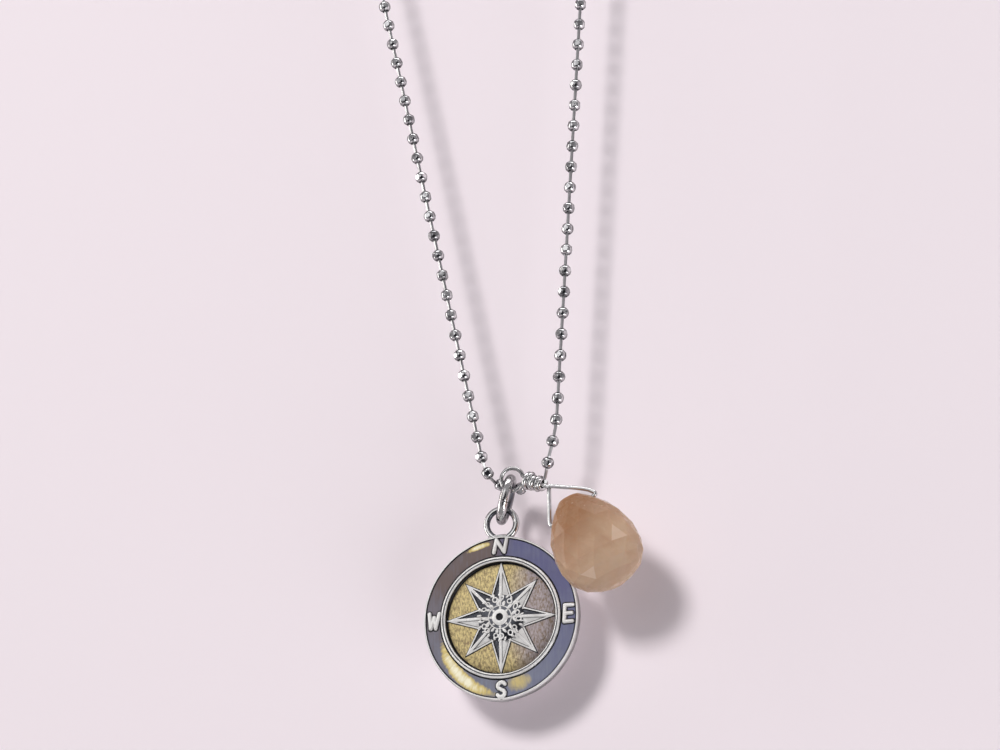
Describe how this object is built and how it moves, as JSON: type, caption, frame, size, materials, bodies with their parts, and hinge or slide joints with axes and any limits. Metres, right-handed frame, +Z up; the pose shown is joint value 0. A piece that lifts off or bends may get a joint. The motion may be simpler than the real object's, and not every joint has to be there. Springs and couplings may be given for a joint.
{
  "type": "compass pendant necklace",
  "caption": "Ball-chain necklace with a round compass charm on a thick jump ring and a faceted stone drop on a wire-wrapped eye, closed by a spring ring.",
  "frame": {"origin": "where the necklace hangs: the middle of the clasp's line at the top of the loop", "axes": "+Z up, the charm's face looks along -Y, +X to the viewer's right"},
  "size_m": [0.0568, 0.0079, 0.2309],
  "materials": {
    "chain_silver": "polished silver beads with darker facets",
    "clasp_silver": "polished silver",
    "ring_silver": "polished silver, a little scratched",
    "charm_silver": "cast silver, mirror band, satin field and darkened hollows",
    "wire_silver": "polished silver wire",
    "stone": "milky peach stone with polished facets"
  },
  "bodies": {
    "chain": {"bead_chain": "chain_silver", "link_wire": "chain_silver", "clasp": "clasp_silver", "end_ring": "clasp_silver"},
    "hanger": {"jump_ring": "ring_silver", "drop_wire": "wire_silver", "drop_stone": "stone"},
    "pendant": {"compass_disc": "charm_silver"}
  },
  "joints": [
    {"name": "hanger_swing", "type": "hinge", "parent": "chain", "child": "hanger", "pos_m": [0.01194, 0.0009, -0.20703], "axis": [1, 0, 0], "range_deg": [-45, 45]},
    {"name": "pendant_swing", "type": "hinge", "parent": "hanger", "child": "pendant", "pos_m": [0.01112, 0.00105, -0.21008], "axis": [0, 1, 0], "range_deg": [-3, 30]}
  ]
}
